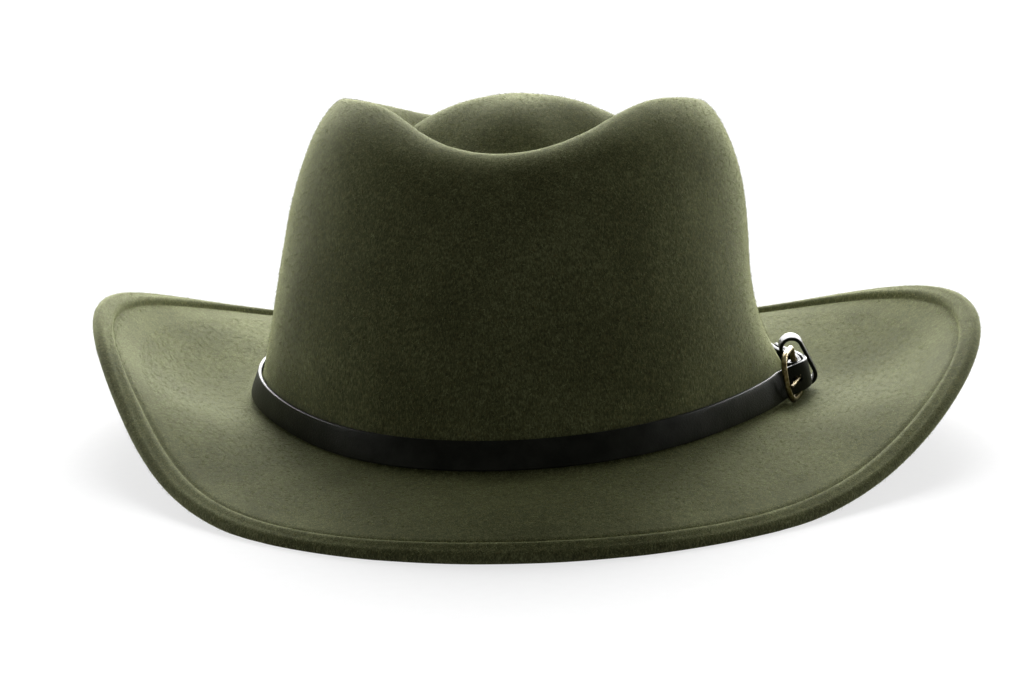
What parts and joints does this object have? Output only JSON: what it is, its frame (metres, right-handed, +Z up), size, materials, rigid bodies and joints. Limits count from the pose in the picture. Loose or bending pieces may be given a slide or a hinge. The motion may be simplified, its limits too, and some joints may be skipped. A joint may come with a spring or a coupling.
{
  "type": "outback hat with leather strap band",
  "caption": "Outback hat of stiff wool felt with a dented teardrop crown, upturned side brim, turned-under hem and a buckled leather strap band.",
  "frame": {"origin": "under the middle of the brim, on the surface that the hat rests on", "axes": "+Z up; the front of the brim points to -Y; +X is the wearer's left, where the buckle is"},
  "size_m": [0.3026, 0.3404, 0.1166],
  "materials": {
    "olive_felt": "matt brushed wool felt",
    "black_leather": "smooth, satin gloss",
    "antique_brass": "aged, satin"
  },
  "bodies": {
    "root": {"felt_body": "olive_felt", "band_strap": "black_leather", "keeper_loop": "black_leather", "buckle_frame": "antique_brass", "buckle_prong": "antique_brass"}
  },
  "joints": []
}
